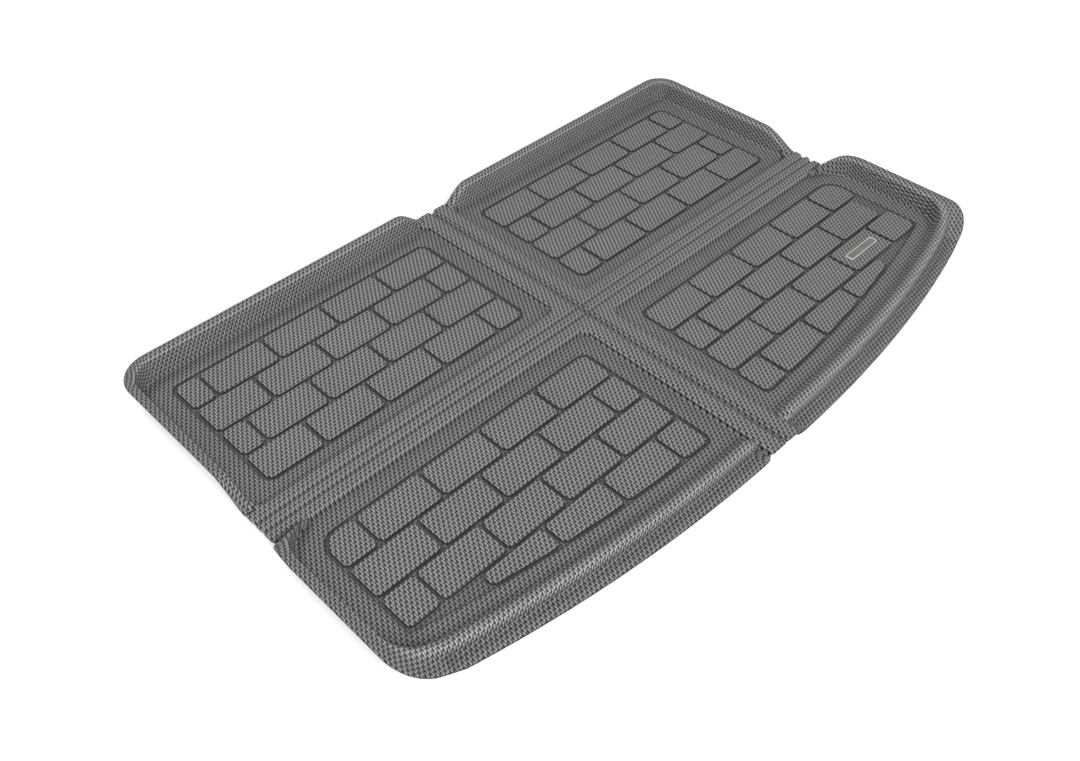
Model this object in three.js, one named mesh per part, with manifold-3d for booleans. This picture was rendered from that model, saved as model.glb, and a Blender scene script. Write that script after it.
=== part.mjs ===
// Car boot liner: one moulded sheet of four trays, parted by a raised cross of fold lines.
// Millimetres, +Z up. +X is the car's right, +Y points to the seats, the bowed sill edge is at -Y.
// The origin is the middle of the plan, on the surface that the liner lies on.

import * as THREE from 'three';
import { mergeVertices } from 'three/addons/utils/BufferGeometryUtils.js';
import Module from 'manifold-3d';

const wasm = await Module();
wasm.setup();

// Plan of the sheet
const rearWidth = 1002.6;
const depth = 604.8;
const leftStep = 11.6;
const rightStep = 23.8;
const frontLeftCorner = 28;
const frontRightCorner = 18;
const shoulderRadius = 45;
const sillCorner = 34;
const cornerHold = 0.1;
const cornerBlend = 1.5;
const blendLength = 26;
const trayCorner = 13;

// Bow of the sill edge
const bowDepth = 62;
const bowCentre = -7.7;
const bowPower = 2.2;

// Sheet
const floorThickness = 5;
const wallThickness = 3.8;
const edgeRoll = 1.2;
const edgeRollWidth = 2.4;
const edgeLand = 0.9;
const edgeTaper = 5;

// Raised lip on the front and the sides
const lipHeight = 27.5;
const rimRise = 2.2;
const rimWidth = 12.8;
const rimShoulder = 1.9;
const rimSlopeShare = 0.56;
const wallLean = 3;
const sideRamp = 55;
const frontRamp = 36;
const rampPower = 1.25;
const shoulderStart = 6;
const shoulderEnd = 51;
const shoulderInset = 2;

// Low crest and flat flange along the sill
const crestHeight = 14.4;
const crestWidth = 11.5;
const crestInnerLean = 8;
const crestOuterLean = 1.6;
const crestFall = 0.6;
const crestEndShare = 0.4;
const flangeWidth = 19.4;
const crestRunOut = 14;

// Cross of fold lines
const foldX = -4;
const foldY = 11.4;
const foldHalfWidth = 26.5;
const foldHeight = 7.7;
const foldSideLean = 1.4;
const foldShoulderWidth = 3.3;
const foldShoulderDrop = 3.6;
const foldEndInset = 0.8;
const foldEndLand = 2.2;
const grooveFloorHalf = 1.5;
const grooveRoundAcross = 0.75;
const grooveRoundDown = 0.35;
const hingeGrooveHalf = 5.6;
const hingeGrooveDepth = 4;
const ridgeGrooveOffset = 7.3;
const ridgeGrooveHalf = 4.6;
const ridgeGrooveDepth = 3.4;
const foldCover = 3;

// Pads in each tray
const padPitch = 88;
const rowPitch = 49.4;
const rowCount = 4;
const firstJoint = 96.4;
const fieldFromFold = 52.3;
const rowsFromFold = 50.5;
const fieldInsetLeft = 47;
const fieldInsetRight = 41.6;
const fieldFromSill = 65;
const fieldCorner = 11;
const shoulderFieldCorner = 25;
const padGroove = 4.2;
const padGrooveDepth = 2.8;
const padCorner = 4.4;
const padRoot = 1;
const shortestPad = 18;
const lowestPad = 12;

// Plain badge plate on one pad
const badgeLength = 60;
const badgeWidth = 13;
const badgeThickness = 1.6;
const badgeRadius = 3;
const badgeBevel = 0.4;
const badgePad = 4;
const badgeRow = 2;

// Places worked out from the sizes above
const rearLeft = -rearWidth / 2;
const rearRight = rearWidth / 2;
const frontLeft = rearLeft + leftStep;
const frontRight = rearRight - rightStep;
const frontEdge = depth / 2;
const sillEdge = -depth / 2;
const lipReach = rimWidth + wallLean;
const crestReach = crestInnerLean + crestWidth + crestOuterLean + flangeWidth;
const floorTop = floorThickness;
const padBase = floorTop - padGrooveDepth;
const seam = 2;
const above = 60;

// Steps of the swept lips and of rounded outlines
const cornerSteps = 5;
const shoulderSteps = 7;
const bowSteps = 11;
const rampShares = [0, 0.12, 0.28, 0.46, 0.68, 1];
const crestEndShares = [0.6, 0.25, 0];

// Height of the sill edge's bow above its foremost point at a place across the width
function bow(x) {
  const reach = rearWidth / 2 + bowCentre;
  return sillEdge + bowDepth * Math.abs((x - bowCentre) / reach) ** bowPower;
}

// Closed mesh of a three.js geometry as a solid
function solid(geometry) {
  geometry.deleteAttribute('normal');
  geometry.deleteAttribute('uv');
  const merged = mergeVertices(geometry, 1e-4);
  return new wasm.Manifold(new wasm.Mesh({
    numProp: 3,
    vertProperties: new Float32Array(merged.attributes.position.array),
    triVerts: new Uint32Array(merged.index.array),
  }));
}

// Flat outline raised between two heights
function slab(shape, low, high, curveSegments = 3) {
  const options = { depth: high - low, bevelEnabled: false, curveSegments };
  const geometry = new THREE.ExtrudeGeometry(shape, options);
  geometry.translate(0, 0, low);
  return solid(geometry);
}

// Outline in the YZ plane run along X, or in the XZ plane run along Y
function barAlongX(points, low, high) {
  const shape = new THREE.Shape(points.map(([across, z]) => new THREE.Vector2(across, z)));
  const geometry = new THREE.ExtrudeGeometry(shape, { depth: high - low, bevelEnabled: false });
  const axes = new THREE.Matrix4().set(0, 0, 1, low, 1, 0, 0, foldY, 0, 1, 0, 0, 0, 0, 0, 1);
  geometry.applyMatrix4(axes);
  return solid(geometry);
}

function barAlongY(points, low, high) {
  const shape = new THREE.Shape(points.map(([across, z]) => new THREE.Vector2(-across, z)));
  const geometry = new THREE.ExtrudeGeometry(shape, { depth: high - low, bevelEnabled: false });
  const axes = new THREE.Matrix4().set(-1, 0, 0, foldX, 0, 0, 1, low, 0, 1, 0, 0, 0, 0, 0, 1);
  geometry.applyMatrix4(axes);
  return solid(geometry);
}

// Rectangle with rounded corners; the radii go left rear, right rear, right front, left front
function roundedRect(x0, y0, x1, y1, radii) {
  const [lr, rr, rf, lf] = radii;
  const shape = new THREE.Shape();
  shape.moveTo(x0 + lr, y0);
  shape.lineTo(x1 - rr, y0);
  shape.absarc(x1 - rr, y0 + rr, rr, -Math.PI / 2, 0);
  shape.lineTo(x1, y1 - rf);
  shape.absarc(x1 - rf, y1 - rf, rf, 0, Math.PI / 2);
  shape.lineTo(x0 + lf, y1);
  shape.absarc(x0 + lf, y1 - lf, lf, Math.PI / 2, Math.PI);
  shape.lineTo(x0, y0 + lr);
  shape.absarc(x0 + lr, y0 + lr, lr, Math.PI, 1.5 * Math.PI);
  return shape;
}

// Raised cross

// Section of a fold band, with a bevel at each shoulder
function bandSection(half, low, high) {
  const knee = half - foldSideLean;
  const crown = knee - foldShoulderWidth;
  return [[-half, low], [half, low], [knee, high - foldShoulderDrop], [crown, high],
    [-crown, high], [-knee, high - foldShoulderDrop]];
}

// Groove section whose sides flare as they near the surface
function grooveSection(offset, half, groove) {
  const top = floorTop + foldHeight;
  const side = [[grooveFloorHalf, top - groove], [grooveRoundAcross * half, top - grooveRoundDown * groove],
    [half, top], [half, top + groove]];
  const far = side.map(([across, z]) => [-across, z]).reverse();
  return [...side, ...far].map(([across, z]) => [offset + across, z]);
}

// Wedge that takes the underside off a band's end, so that only a thin land shows there
function endWedge(x, y, turn) {
  const height = floorTop + foldHeight - foldEndLand;
  const reach = foldHalfWidth + 1;
  const shape = new THREE.Shape([new THREE.Vector2(-1, -1), new THREE.Vector2(height, -1),
    new THREE.Vector2(0, height), new THREE.Vector2(-1, height)]);
  const geometry = new THREE.ExtrudeGeometry(shape, { depth: 2 * reach, bevelEnabled: false });
  geometry.rotateX(Math.PI / 2);
  geometry.translate(0, reach, 0);
  geometry.rotateZ(turn);
  geometry.translate(x, y, 0);
  return solid(geometry);
}

function foldCross() {
  const crown = bandSection(foldHalfWidth, 0, floorTop + foldHeight);
  const hollowTop = floorTop + foldHeight - Math.max(hingeGrooveDepth, ridgeGrooveDepth) - foldCover;
  const hollow = bandSection(foldHalfWidth - wallThickness, -1, hollowTop);
  const left = frontLeft + foldEndInset;
  const right = frontRight - foldEndInset;
  const rear = bow(foldX) + foldEndInset;
  const front = frontEdge - foldEndInset;
  const cross = barAlongX(crown, left, right).add(barAlongY(crown, rear, front));
  const voids = barAlongX(hollow, left - 1, right + 1).add(barAlongY(hollow, rear - 1, front + 1));
  const grooves = [-ridgeGrooveOffset, ridgeGrooveOffset].map((offset) => barAlongX(
    grooveSection(offset, ridgeGrooveHalf, ridgeGrooveDepth), left - 1, right + 1));
  grooves.push(barAlongY(grooveSection(0, hingeGrooveHalf, hingeGrooveDepth), rear - 1, front + 1));
  const ends = [[left, foldY, 0], [right, foldY, Math.PI]];
  ends.push([foldX, rear, Math.PI / 2], [foldX, front, -Math.PI / 2]);
  const wedges = ends.map(([x, y, turn]) => endWedge(x, y, turn));
  return cross.subtract(voids).subtract(wasm.Manifold.union([...grooves, ...wedges]));
}

// Lips and sill crest

// Cross-section of the sheet from a tray's floor to the sheet's edge, as [distance from the foot, height]:
// a raised lip where sill is 0, the crest and its flat flange where sill is 1
function sheetSection({ lift, sill, reach, crest }) {
  const t = wallThickness;
  const bottom = -floorThickness;
  const inner = foldHeight + (lipHeight - foldHeight) * lift;
  const rim = inner + rimRise * lift;
  const slope = rimSlopeShare * reach;
  const lip = [
    [-2 * seam, 0], [0, 0], [wallLean, inner - rimShoulder], [wallLean + rimShoulder, inner],
    [slope, rim], [reach - edgeRollWidth, rim], [reach, rim - edgeRoll],
    [reach, rim - edgeRoll - edgeLand], [reach - edgeTaper, rim - t], [slope, rim - t],
    [wallLean + t, inner - t], [wallLean + t, inner - rimShoulder - t], [t, bottom], [-2 * seam, bottom],
  ];
  const scale = reach / crestReach;
  const crestOut = crestInnerLean + crestWidth;
  const wallOut = crestOut + crestOuterLean;
  const hump = [
    [-2 * seam, 0], [0, 0], [crestInnerLean * scale, crest - crestFall], [crestOut * scale, crest],
    [wallOut * scale, 0], [reach - edgeRollWidth, 0], [reach, -edgeRoll],
    [reach, -edgeRoll - edgeLand], [reach - edgeTaper, bottom], [(wallOut - t) * scale, bottom],
    [(crestOut - t) * scale, crest - t], [(crestInnerLean + t) * scale, crest - t], [t * scale, bottom],
    [-2 * seam, bottom],
  ];
  const blend = THREE.MathUtils.lerp;
  return lip.map(([d, z], i) => [blend(d, hump[i][0], sill), blend(z, hump[i][1], sill)]);
}

// Sheet section carried along stations, each with a foot point and an edge point in plan
function carriedSheet(stations) {
  const full = sheetSection({ lift: 1, sill: 0, reach: lipReach, crest: crestHeight });
  const shape = new THREE.Shape(full.map(([d, z]) => new THREE.Vector2(d, z)));
  const steps = stations.length - 1;
  const geometry = new THREE.ExtrudeGeometry(shape, { depth: steps, steps, bevelEnabled: false });
  const sections = stations.map((s) => sheetSection({ ...s, reach: s.foot.distanceTo(s.edge) }));
  const position = geometry.attributes.position;
  for (let i = 0; i < position.count; i++) {
    const corner = full.findIndex(([d, z]) =>
      Math.abs(d - position.getX(i)) < 1e-3 && Math.abs(z - position.getY(i)) < 1e-3);
    const at = Math.round(position.getZ(i));
    const { foot, edge } = stations[at];
    const [d, z] = sections[at][corner];
    const outward = edge.clone().sub(foot).normalize().multiplyScalar(d).add(foot);
    position.setXYZ(i, outward.x, outward.y, floorTop + z);
  }
  return solid(geometry);
}

function station(footX, footY, edgeX, edgeY, lift, sill = 0, crest = crestHeight) {
  return { foot: new THREE.Vector2(footX, footY), edge: new THREE.Vector2(edgeX, edgeY), lift, sill, crest };
}

// Share of the full lip height along the ramp where a lip runs down to a fold band
function rampLift(t) {
  return Math.sin(t * Math.PI / 2) ** rampPower;
}

// Lip of a front tray, from the cross band forward and round to the middle band
function frontLip(side) {
  const edgeX = side < 0 ? frontLeft : frontRight;
  const cornerRadius = side < 0 ? frontLeftCorner : frontRightCorner;
  const footX = edgeX - side * lipReach;
  const footY = frontEdge - lipReach;
  const rampFoot = foldY + foldHalfWidth;
  const frontFoot = foldX + side * foldHalfWidth;
  const stations = [station(footX, rampFoot - seam, edgeX, rampFoot - seam, 0)];
  for (const t of rampShares) {
    stations.push(station(footX, rampFoot + t * sideRamp, edgeX, rampFoot + t * sideRamp, rampLift(t)));
  }
  const centre = new THREE.Vector2(footX - side * cornerRadius, footY - cornerRadius);
  for (let i = 0; i <= cornerSteps; i++) {
    const angle = i / cornerSteps * Math.PI / 2;
    const out = new THREE.Vector2(side * Math.cos(angle), Math.sin(angle));
    const foot = out.clone().multiplyScalar(cornerRadius).add(centre);
    const edge = out.clone().multiplyScalar(cornerRadius + lipReach).add(centre);
    stations.push(station(foot.x, foot.y, edge.x, edge.y, 1));
  }
  for (const t of [...rampShares].reverse()) {
    const x = frontFoot + side * t * frontRamp;
    stations.push(station(x, footY, x, frontEdge, rampLift(t)));
  }
  stations.push(station(frontFoot - side * seam, footY, frontFoot - side * seam, frontEdge, 0));
  return carriedSheet(side < 0 ? stations : stations.reverse());
}

// Foot and edge of a rear tray's outer corner at the sill, as matching curves
function sillCornerCurves(side) {
  const edgeX = side < 0 ? rearLeft : rearRight;
  const footX = edgeX - side * lipReach;
  const footCorner = sillCorner - lipReach / 2;
  const foot = new THREE.QuadraticBezierCurve(
    new THREE.Vector2(footX, bow(footX) + crestReach + footCorner),
    new THREE.Vector2(footX, bow(footX) + crestReach),
    new THREE.Vector2(footX - side * footCorner, bow(footX - side * footCorner) + crestReach));
  const edge = new THREE.QuadraticBezierCurve(
    new THREE.Vector2(edgeX, bow(edgeX) + sillCorner),
    new THREE.Vector2(edgeX, bow(edgeX)),
    new THREE.Vector2(edgeX - side * sillCorner, bow(edgeX - side * sillCorner)));
  return { foot, edge };
}

// Lip of a rear tray: round the shoulder, down the side, round the corner and along the bowed sill
function rearLip(side) {
  const edgeX = side < 0 ? rearLeft : rearRight;
  const bandEdge = side < 0 ? frontLeft : frontRight;
  const footX = edgeX - side * lipReach;
  const bandFoot = foldY - foldHalfWidth;
  const centre = new THREE.Vector2(footX - side * shoulderRadius, bandFoot - shoulderRadius);
  const shoulder = new THREE.QuadraticBezierCurve(
    new THREE.Vector2(bandEdge - side * foldEndInset, bandFoot - shoulderStart),
    new THREE.Vector2(edgeX - side * shoulderInset, bandFoot - shoulderStart - shoulderInset),
    new THREE.Vector2(edgeX, bandFoot - shoulderEnd));
  const stations = [];
  for (let i = 0; i <= shoulderSteps; i++) {
    const t = i / shoulderSteps;
    const angle = t * Math.PI / 2;
    const foot = new THREE.Vector2(side * Math.sin(angle), Math.cos(angle))
      .multiplyScalar(shoulderRadius).add(centre);
    if (i === 0) foot.y += seam;
    const edge = shoulder.getPoint(t);
    stations.push(station(foot.x, foot.y, edge.x, edge.y, Math.sin(angle)));
  }
  const corner = sillCornerCurves(side);
  for (let i = 0; i <= shoulderSteps; i++) {
    const t = i / shoulderSteps;
    const foot = corner.foot.getPoint(t);
    const edge = corner.edge.getPoint(t);
    const sill = THREE.MathUtils.smoothstep(t, cornerHold, cornerBlend);
    stations.push(station(foot.x, foot.y, edge.x, edge.y, 1, sill));
  }
  const start = corner.edge.getPoint(1).x - side * blendLength;
  const end = foldX + side * foldHalfWidth;
  for (let i = 0; i <= bowSteps; i++) {
    const x = THREE.MathUtils.lerp(start, end + side * crestRunOut, i / bowSteps);
    stations.push(station(x, bow(x) + crestReach, x, bow(x), 1, 1));
  }
  for (const share of crestEndShares) {
    const x = end + side * crestRunOut * share;
    const height = crestEndShare + (1 - crestEndShare) * Math.sin(share * Math.PI / 2);
    stations.push(station(x, bow(x) + crestReach, x, bow(x), 1, 1, crestHeight * height));
  }
  const root = end - side * seam;
  const rootHeight = crestHeight * crestEndShare;
  stations.push(station(root, bow(root) + crestReach, root, bow(root), 1, 1, rootHeight));
  return carriedSheet(side > 0 ? stations : stations.reverse());
}

// Tray floors

// Floor outline of a front tray, up to the foot of its walls
function frontFloor(side) {
  const outer = (side < 0 ? frontLeft : frontRight) - side * lipReach;
  const inner = foldX + side * (foldHalfWidth - seam);
  const near = foldY + foldHalfWidth - seam;
  const far = frontEdge - lipReach;
  const radii = side < 0 ? [0.1, 0.1, 0.1, frontLeftCorner] : [0.1, 0.1, frontRightCorner, 0.1];
  return roundedRect(Math.min(outer, inner), near, Math.max(outer, inner), far, radii);
}

// Floor outline of a rear tray, with the round shoulder and the bowed side
function rearFloor(side) {
  const outer = (side < 0 ? rearLeft : rearRight) - side * lipReach;
  const inner = foldX + side * (foldHalfWidth - seam);
  const near = foldY - foldHalfWidth + seam;
  const points = [new THREE.Vector2(inner, near), new THREE.Vector2(outer - side * shoulderRadius, near)];
  for (let i = 1; i <= shoulderSteps; i++) {
    const angle = i / shoulderSteps * Math.PI / 2;
    points.push(new THREE.Vector2(
      outer - side * shoulderRadius * (1 - Math.sin(angle)),
      near - seam - shoulderRadius * (1 - Math.cos(angle))));
  }
  points.push(...sillCornerCurves(side).foot.getPoints(shoulderSteps));
  const start = points.at(-1).x;
  for (let i = 1; i <= bowSteps; i++) {
    const x = THREE.MathUtils.lerp(start, inner, i / bowSteps);
    points.push(new THREE.Vector2(x, bow(x) + crestReach));
  }
  return new THREE.Shape(points);
}

// Fill that rounds a square tray corner at band height
function cornerFill(x, y, towardX, towardY, radius) {
  const shape = new THREE.Shape();
  const cx = x + towardX * radius;
  const cy = y + towardY * radius;
  shape.moveTo(x - towardX * seam, y - towardY * seam);
  shape.lineTo(cx, y - towardY * seam);
  for (let i = 0; i <= cornerSteps; i++) {
    const angle = i / cornerSteps * Math.PI / 2;
    shape.lineTo(cx - towardX * radius * Math.sin(angle), cy - towardY * radius * Math.cos(angle));
  }
  shape.lineTo(x - towardX * seam, cy);
  return slab(shape, 0, floorTop + foldHeight - foldShoulderDrop);
}

function trayCornerFills() {
  const fills = [];
  for (const side of [-1, 1]) {
    const bandX = foldX + side * foldHalfWidth;
    const frontFoot = foldY + foldHalfWidth;
    const rearFoot = foldY - foldHalfWidth;
    const outer = (side < 0 ? frontLeft : frontRight) - side * lipReach;
    fills.push(cornerFill(bandX, frontFoot, side, 1, trayCorner));
    fills.push(cornerFill(bandX, rearFoot, side, -1, trayCorner));
    fills.push(cornerFill(bandX, frontEdge - lipReach, side, -1, trayCorner));
    fills.push(cornerFill(outer, frontFoot, -side, 1, trayCorner));
  }
  return wasm.Manifold.union(fills);
}

// Pads

// Outline of a tray's pad field, drawn in from its border groove by an inset
function fieldOutline(side, front, inset) {
  const edgeX = front ? (side < 0 ? frontLeft : frontRight) : (side < 0 ? rearLeft : rearRight);
  const outer = side < 0 ? edgeX + fieldInsetLeft + inset : edgeX - fieldInsetRight - inset;
  const inner = foldX + side * (fieldFromFold + inset);
  const x0 = Math.min(outer, inner);
  const x1 = Math.max(outer, inner);
  const r = fieldCorner - inset;
  if (front) {
    const y0 = foldY + rowsFromFold + inset;
    const y1 = foldY + rowsFromFold + rowCount * rowPitch - inset;
    return roundedRect(x0, y0, x1, y1, [r, r, r, r]);
  }
  const y1 = foldY - rowsFromFold - inset;
  const big = shoulderFieldCorner - inset;
  const [rf, lf] = side < 0 ? [r, big] : [big, r];
  const shape = new THREE.Shape();
  shape.moveTo(x1, bow(x1) + fieldFromSill + inset + (side < 0 ? r : 0));
  shape.lineTo(x1, y1 - rf);
  shape.absarc(x1 - rf, y1 - rf, rf, 0, Math.PI / 2);
  shape.lineTo(x0 + lf, y1);
  shape.absarc(x0 + lf, y1 - lf, lf, Math.PI / 2, Math.PI);
  shape.lineTo(x0, bow(x0) + fieldFromSill + inset + (side < 0 ? 0 : r));
  const from = side < 0 ? x0 : x0 + r;
  const to = side < 0 ? x1 - r : x1;
  for (let i = 0; i <= bowSteps; i++) {
    const x = THREE.MathUtils.lerp(from, to, i / bowSteps);
    shape.lineTo(x, bow(x) + fieldFromSill + inset);
  }
  return shape;
}

// Spans of the pads in one row, as distances from the middle fold line
function padSpans(side, front, row) {
  const edgeX = front ? (side < 0 ? frontLeft : frontRight) : (side < 0 ? rearLeft : rearRight);
  const end = side < 0 ? foldX - edgeX - fieldInsetLeft : edgeX - fieldInsetRight - foldX;
  const shifted = front ? row % 2 === 1 : row % 2 === 0;
  const joints = [fieldFromFold];
  for (let d = firstJoint + (shifted ? padPitch / 2 : 0); d < end - padGroove; d += padPitch) joints.push(d);
  joints.push(end);
  const spans = [];
  for (let i = 1; i < joints.length; i++) {
    if (joints[i] - joints[i - 1] >= shortestPad) spans.push([joints[i - 1], joints[i]]);
  }
  return spans;
}

// Low and high line of a row of pads
function rowLines(front, row) {
  const near = rowsFromFold + row * rowPitch;
  const far = near + rowPitch;
  return front ? [foldY + near, foldY + far] : [foldY - far, foldY - near];
}

function trayPads(side, front) {
  const half = padGroove / 2;
  const pads = [];
  for (let row = 0; row < rowCount; row++) {
    const [y0, y1] = rowLines(front, row);
    for (const [near, far] of padSpans(side, front, row)) {
      const outerX = foldX + side * far;
      if (!front && y1 - half - (bow(outerX) + fieldFromSill + half) < lowestPad) continue;
      const x0 = Math.min(foldX + side * near, outerX) + half;
      const x1 = Math.max(foldX + side * near, outerX) - half;
      const corners = [padCorner, padCorner, padCorner, padCorner];
      pads.push(slab(roundedRect(x0, y0 + half, x1, y1 - half, corners), padBase - padRoot, floorTop, 1));
    }
  }
  const inside = slab(fieldOutline(side, front, half), padBase - 2 * padRoot, floorTop + above, 2);
  return wasm.Manifold.union(pads).intersect(inside);
}

function tray(side, front) {
  const floor = slab(front ? frontFloor(side) : rearFloor(side), 0, floorTop, 5);
  const recess = slab(fieldOutline(side, front, -padGroove / 2), padBase, floorTop + above, 3);
  return floor.subtract(recess).add(trayPads(side, front));
}

// Whole sheet
function linerSolid() {
  const pieces = [foldCross(), trayCornerFills()];
  for (const side of [-1, 1]) {
    pieces.push(frontLip(side), rearLip(side));
    pieces.push(tray(side, true), tray(side, false));
  }
  return wasm.Manifold.union(pieces);
}

// Plain plate on a pad of the right rear tray
function badgeGeometry() {
  const spans = padSpans(1, false, badgeRow);
  const [near, far] = spans[Math.min(badgePad, spans.length) - 1];
  const [y0, y1] = rowLines(false, badgeRow);
  const centreX = foldX + (near + far) / 2;
  const centreY = (y0 + y1) / 2;
  const shape = roundedRect(-badgeLength / 2 + badgeBevel, -badgeWidth / 2 + badgeBevel,
    badgeLength / 2 - badgeBevel, badgeWidth / 2 - badgeBevel,
    [badgeRadius, badgeRadius, badgeRadius, badgeRadius]);
  const geometry = new THREE.ExtrudeGeometry(shape, {
    depth: badgeThickness - 2 * badgeBevel,
    bevelEnabled: true,
    bevelThickness: badgeBevel,
    bevelSize: badgeBevel,
    bevelSegments: 2,
    curveSegments: 4,
  });
  geometry.translate(centreX, centreY, floorTop + badgeBevel);
  return geometry;
}

function toGeometry(manifold) {
  const mesh = manifold.getMesh();
  const geometry = new THREE.BufferGeometry();
  const count = mesh.vertProperties.length / mesh.numProp;
  const position = new Float32Array(count * 3);
  for (let i = 0; i < count; i++) {
    for (let k = 0; k < 3; k++) position[3 * i + k] = mesh.vertProperties[mesh.numProp * i + k];
  }
  geometry.setAttribute('position', new THREE.BufferAttribute(position, 3));
  geometry.setIndex([...mesh.triVerts]);
  return geometry;
}

const group = new THREE.Group();

const sheetMaterial = new THREE.MeshStandardMaterial({ color: 0x58585a, roughness: 0.85, metalness: 0 });
const liner = new THREE.Mesh(toGeometry(linerSolid()), sheetMaterial);
liner.name = 'boot_liner';
group.add(liner);

const badgeMaterial = new THREE.MeshStandardMaterial({ color: 0xa5a29c, roughness: 0.35, metalness: 1 });
const badge = new THREE.Mesh(badgeGeometry(), badgeMaterial);
badge.name = 'badge_plate';
group.add(badge);

export default group;
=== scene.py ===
import math

import bmesh
import bpy
from mathutils import Matrix, Vector


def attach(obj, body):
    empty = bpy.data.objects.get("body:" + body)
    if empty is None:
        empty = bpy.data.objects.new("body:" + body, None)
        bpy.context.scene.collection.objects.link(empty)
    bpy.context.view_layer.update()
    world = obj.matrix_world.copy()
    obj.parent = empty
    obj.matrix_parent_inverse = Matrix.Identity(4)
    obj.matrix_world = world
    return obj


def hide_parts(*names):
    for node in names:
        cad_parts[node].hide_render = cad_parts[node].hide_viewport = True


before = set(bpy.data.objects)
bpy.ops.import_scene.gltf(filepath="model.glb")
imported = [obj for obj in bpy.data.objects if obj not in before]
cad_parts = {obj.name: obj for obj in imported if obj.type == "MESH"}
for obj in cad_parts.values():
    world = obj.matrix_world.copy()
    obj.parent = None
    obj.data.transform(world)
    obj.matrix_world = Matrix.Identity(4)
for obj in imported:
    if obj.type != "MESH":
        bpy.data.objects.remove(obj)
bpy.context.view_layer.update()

MM = 0.001

# Camera, fitted to the photograph
CAMERA_PLACE = Vector((-0.7591, -0.6708, 0.9010))
CAMERA_LOOK = Vector((0.49894, 0.50128, -0.70695))
LENS = 35.81
SENSOR = 36.0

# Studio floor in metres, just under the sheet, whitened for the camera and more so far away
FLOOR_SIZE = 20.0
FLOOR_Z = -0.0003
FLOOR_COLOUR = 0.8
FLOOR_LIFT = 0.52
FLOOR_LIT = 1.5
FLOOR_FAR = 6.0

# Studio light: share of the white world that lights the sheet, and the lamps by name, place, size, watts
FILL_STRENGTH = 0.16
LAMPS = (
    ("key", (-1.2, -4.2, 3.6), 2.8, 242),
    ("side", (-4.4, -0.4, 3.2), 2.4, 38),
    ("back", (-0.6, 3.0, 3.8), 1.4, 60),
)

# Woven emboss, as a centred lattice of threads
THREAD_ACROSS = 6.05
THREAD_ALONG = 9.7
WEAVE_HEIGHT = 0.5
# Each wave of the emboss: turns across, turns along, phase, share of the tone as painted shade in the
# thread gaps and painted highlight on the thread tops, share of the height
THREADS = (
    (1, -1, 0, 0.54, 0.5),
    (1, 1, 0, 0.2, 0.16),
    (2, 0, 60, 0.56, 0.15),
    (0, 2, 180, 0.36, 0.16),
    (2, -2, -130, 0.22, 0.0),
    (1, -3, 155, 0.14, 0.0),
)

# Fibres and broad mottling, each noise as scale, detail and roughness
FIBRE_NOISE = (900.0, 3.0, 0.6)
FIBRE_TONES = (0.8, 1.2)
FIBRE_HEIGHT = 0.2
MOTTLE_NOISE = (9.0, 3.0, 0.55)
MOTTLE_TONES = (0.95, 1.05)
NOISE_RANGE = (0.2, 0.8)

# Tones and gloss of the moulding, as shares of white
SHEET_TONE = 0.166
LEAST_TONE = 0.01
PAD_GAIN = 1.15
SHEET_ROUGHNESS = 0.6
SHEET_SPECULAR = 0.22
# Painted shade low in the grooves and painted highlights on the raised bands, crest and rims, as pairs of
# height and share of the tone
SHADE_AND_HIGHLIGHT_BY_HEIGHT = (
    (0, 1), (2.2, 0.8), (4.4, 0.92), (5.0, 1), (6.5, 1.05), (8.6, 0.82), (9.2, 0.95),
    (9.8, 1.05), (11.5, 1.13), (12.6, 1.14), (13.5, 1.03), (31, 1.17), (33, 1.12), (34.7, 1.05),
)
# Painted shade: a darker strip of floor beside a band, by distance from the band's foot and by height
BESIDE_SHADE_TONE = 0.88
BESIDE_REACH = 30
BESIDE_LOW = 5.3
BESIDE_HIGH = 6.5
# Painted shade in the groove along the middle fold, by distance from the fold
HINGE_SHADE_TONE = 0.86
HINGE_DARK = 3.5
HINGE_CLEAR = 7.5
# Grooves between pads, darkened with painted shade and unwoven up to one height and clear from the next
GROOVE_SHADE_TONE = 0.38
GROOVE_DARK = 2.8
GROOVE_CLEAR = 4.5
# Shade in hollows, by the share of the sky that they see
SHADE_SAMPLES = 8
SHADE_REACH = 12
SHADE_DEEP = 0.3
SHADE_FLOOR = 0.68
SKY_CLOSED = 0.68
SKY_OPEN = 0.95

# Brushed finish of the badge
BADGE_TONE = 0.22
BADGE_EDGE_TONE = 0.6
BADGE_WARMTH = 0.04
BADGE_FACE_RISE = 1.4
BADGE_LEVEL = (0.9, 0.995)
BRUSH_STRETCH = (0.02, 1.0, 1.0)
BRUSH_NOISE = (2500.0, 3.0, 0.6)
BRUSH_TONES = (0.75, 1.1)
BRUSH_STRENGTH = 0.35
BRUSH_HEIGHT = 0.04
STAIN_NOISE = (60.0, 3.0, 0.6)
STAIN_TONES = (0.9, 1.05)
STAIN_ROUGHNESS = (0.42, 0.55)
METAL_RANGE = (0.3, 0.7)

# Sizes of the sheet in millimetres, as in the solid model
REAR_WIDTH = 1002.6
DEPTH = 604.8
LEFT_STEP = 11.6
RIGHT_STEP = 23.8
FRONT_CORNERS = {-1: 28, 1: 18}
SHOULDER_RADIUS = 45
SILL_CORNER = 34
BLEND_LENGTH = 26
TRAY_CORNER = 13
CORNER_BITE = 0.15
CORNER_REACH = 40
CORNER_REACH_AT_LIP = 14
BOW_DEPTH = 62
BOW_CENTRE = -7.7
BOW_POWER = 2.2
FLOOR_TOP = 5
SKIN = 3.8
BAND_SKIN = 3

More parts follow.
